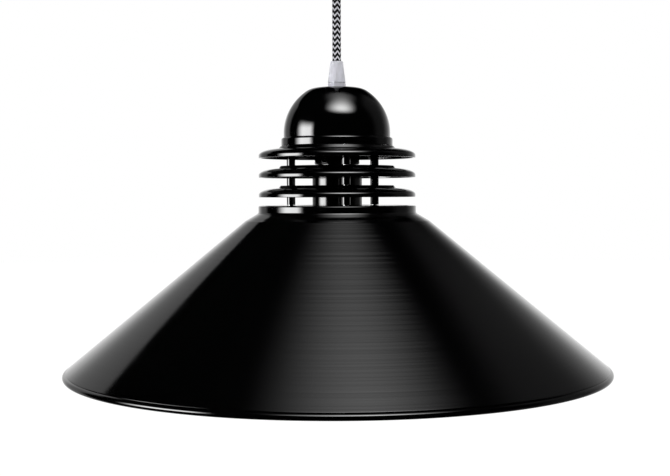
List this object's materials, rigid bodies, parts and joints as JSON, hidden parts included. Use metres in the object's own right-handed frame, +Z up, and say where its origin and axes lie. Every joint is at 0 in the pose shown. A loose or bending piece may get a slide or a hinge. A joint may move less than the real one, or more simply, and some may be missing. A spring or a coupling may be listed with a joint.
{
  "type": "pendant lamp",
  "caption": "Hanging lamp: wide conical shade under stacked louvre rings and a domed cap, on a textile cord from a ceiling cup; swings, twists, and its bulb and cord grip screw.",
  "frame": {"origin": "middle of the ceiling bracket's top face, which lies against the ceiling", "axes": "+Z up, out of the bracket's face into the ceiling; the lamp hangs along -Z; -Y is the side seen from the front"},
  "size_m": [0.4498, 0.4498, 0.3817],
  "materials": {
    "black_enamel": "gloss black enamel on spun aluminium",
    "black_plastic": "fine matt moulding",
    "bakelite": "polished black bakelite",
    "white_nylon": "natural nylon",
    "clear_plastic": "frosted clear plastic",
    "textile_braid": "black and white zig-zag braid",
    "zinc_steel": "bright zinc plate",
    "brass": "bright turned brass",
    "ceramic": "glazed white ceramic",
    "solder": "dull tin",
    "bulb_aluminium": "rolled thread",
    "opal_glass": "white opal",
    "brown_insulation": "smooth insulation",
    "blue_insulation": "smooth insulation",
    "green_insulation": "green with a yellow stripe"
  },
  "bodies": {
    "ceiling_fitting": {"ceiling_bracket": "zinc_steel", "ceiling_cup": "black_enamel", "cup_screw_left": "black_enamel", "cup_screw_right": "black_enamel", "outlet_bush": "black_plastic", "outlet_nut": "zinc_steel", "cord_clamp": "black_plastic", "clamp_screw": "zinc_steel", "terminal_block": "white_nylon", "ceiling_lead_live": "brown_insulation", "ceiling_lead_earth": "green_insulation", "ceiling_lead_neutral": "blue_insulation", "cord_tail": "textile_braid"},
    "cord_turn": {"cord_bend": "textile_braid"},
    "cord_run": {"cord": "textile_braid"},
    "lamp": {"grip_flange": "clear_plastic", "threaded_tube": "zinc_steel", "dome_cap": "black_enamel", "carrier_plate": "black_enamel", "carrier_nut": "zinc_steel", "louvre_ring_1": "black_enamel", "louvre_ring_2": "black_enamel", "louvre_ring_3": "black_enamel", "spacer_1_front": "black_enamel", "spacer_1_right": "black_enamel", "spacer_1_left": "black_enamel", "spacer_2_front": "black_enamel", "spacer_2_right": "black_enamel", "spacer_2_left": "black_enamel", "spacer_3_front": "black_enamel", "spacer_3_right": "black_enamel", "spacer_3_left": "black_enamel", "tie_rod_front": "zinc_steel", "tie_rod_right": "zinc_steel", "tie_rod_left": "zinc_steel", "rod_nut_front": "zinc_steel", "rod_nut_right": "zinc_steel", "rod_nut_left": "zinc_steel", "shade": "black_enamel", "holder_cap": "bakelite", "holder_body": "bakelite", "holder_entry_bush": "brass", "earth_screw": "brass", "holder_insert": "ceramic", "live_terminal": "brass", "neutral_terminal": "brass", "live_terminal_screw": "zinc_steel", "neutral_terminal_screw": "zinc_steel", "screw_shell": "brass", "centre_contact": "brass", "cord_inner_end": "textile_braid", "lead_live": "brown_insulation", "lead_neutral": "blue_insulation", "lead_earth": "green_insulation"},
    "grip_travel": {"grip_collet": "white_nylon"},
    "grip_screw": {"grip_nut": "clear_plastic"},
    "bulb_travel": {"bulb_contact": "solder"},
    "bulb": {"bulb_insulator": "black_plastic", "bulb_cap": "bulb_aluminium", "bulb_glass": "opal_glass"}
  },
  "joints": [
    {"name": "swing_side", "type": "hinge", "parent": "ceiling_fitting", "child": "cord_turn", "pos_m": [0, 0, -0.0582], "axis": [0, 1, 0], "range_deg": [-25, 25]},
    {"name": "swing_forward", "type": "hinge", "parent": "cord_turn", "child": "cord_run", "pos_m": [0, 0, -0.0702], "axis": [1, 0, 0], "range_deg": [-25, 25]},
    {"name": "lamp_twist", "type": "hinge", "parent": "cord_run", "child": "lamp", "pos_m": [0, 0, -0.1233], "axis": [0, 0, 1], "range_deg": [-90, 90], "stiffness_Nm_per_rad": 0.02},
    {"name": "grip_nut_travel", "type": "slide", "parent": "lamp", "child": "grip_travel", "axis": [0, 0, 1], "range_m": [0, 0.002]},
    {"name": "grip_nut_turn", "type": "hinge", "parent": "grip_travel", "child": "grip_screw", "pos_m": [0, 0, -0.1326], "axis": [0, 0, 1], "range_deg": [0, 722]},
    {"name": "bulb_screw_travel", "type": "slide", "parent": "lamp", "child": "bulb_travel", "axis": [0, 0, 1], "range_m": [-0.0181, 0]},
    {"name": "bulb_turn", "type": "hinge", "parent": "bulb_travel", "child": "bulb", "pos_m": [0, 0, -0.28], "axis": [0, 0, 1], "range_deg": [-1800, 0]}
  ],
  "couplings": [
    {"joint": "grip_nut_turn", "follows": "grip_nut_travel", "rad_per_m": 6283.2},
    {"joint": "bulb_turn", "follows": "bulb_screw_travel", "rad_per_m": 1731.4}
  ]
}
